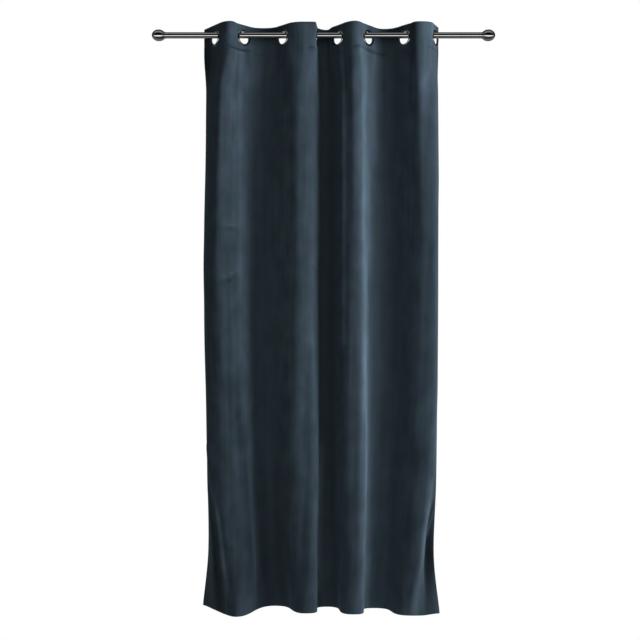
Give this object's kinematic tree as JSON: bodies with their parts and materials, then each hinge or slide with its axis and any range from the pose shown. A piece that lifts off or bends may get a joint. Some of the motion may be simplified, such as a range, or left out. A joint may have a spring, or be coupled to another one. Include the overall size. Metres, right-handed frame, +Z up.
{
  "type": "velvet eyelet drape on a curtain rod",
  "caption": "Full-length velvet drape gathered in uneven folds by metal eyelet rings on a round curtain rod with ball finials.",
  "frame": {"origin": "middle of the curtain rod, on its axis", "axes": "+X along the rod to the right as seen from the front, the drape's front faces -Y, +Z up"},
  "size_m": [1.4078, 0.1577, 2.4002],
  "materials": {
    "velvet": "short-pile velvet, dark petrol navy, soft sheen",
    "rod_metal": "polished black-nickel plated steel",
    "eyelet_metal": "polished nickel plated steel"
  },
  "bodies": {
    "root": {"rod": "rod_metal", "finial_left": "rod_metal", "finial_right": "rod_metal", "eyelet_1": "eyelet_metal", "eyelet_2": "eyelet_metal", "eyelet_3": "eyelet_metal", "eyelet_4": "eyelet_metal", "eyelet_5": "eyelet_metal", "eyelet_6": "eyelet_metal", "eyelet_7": "eyelet_metal", "eyelet_8": "eyelet_metal", "drape": "velvet"}
  },
  "joints": []
}
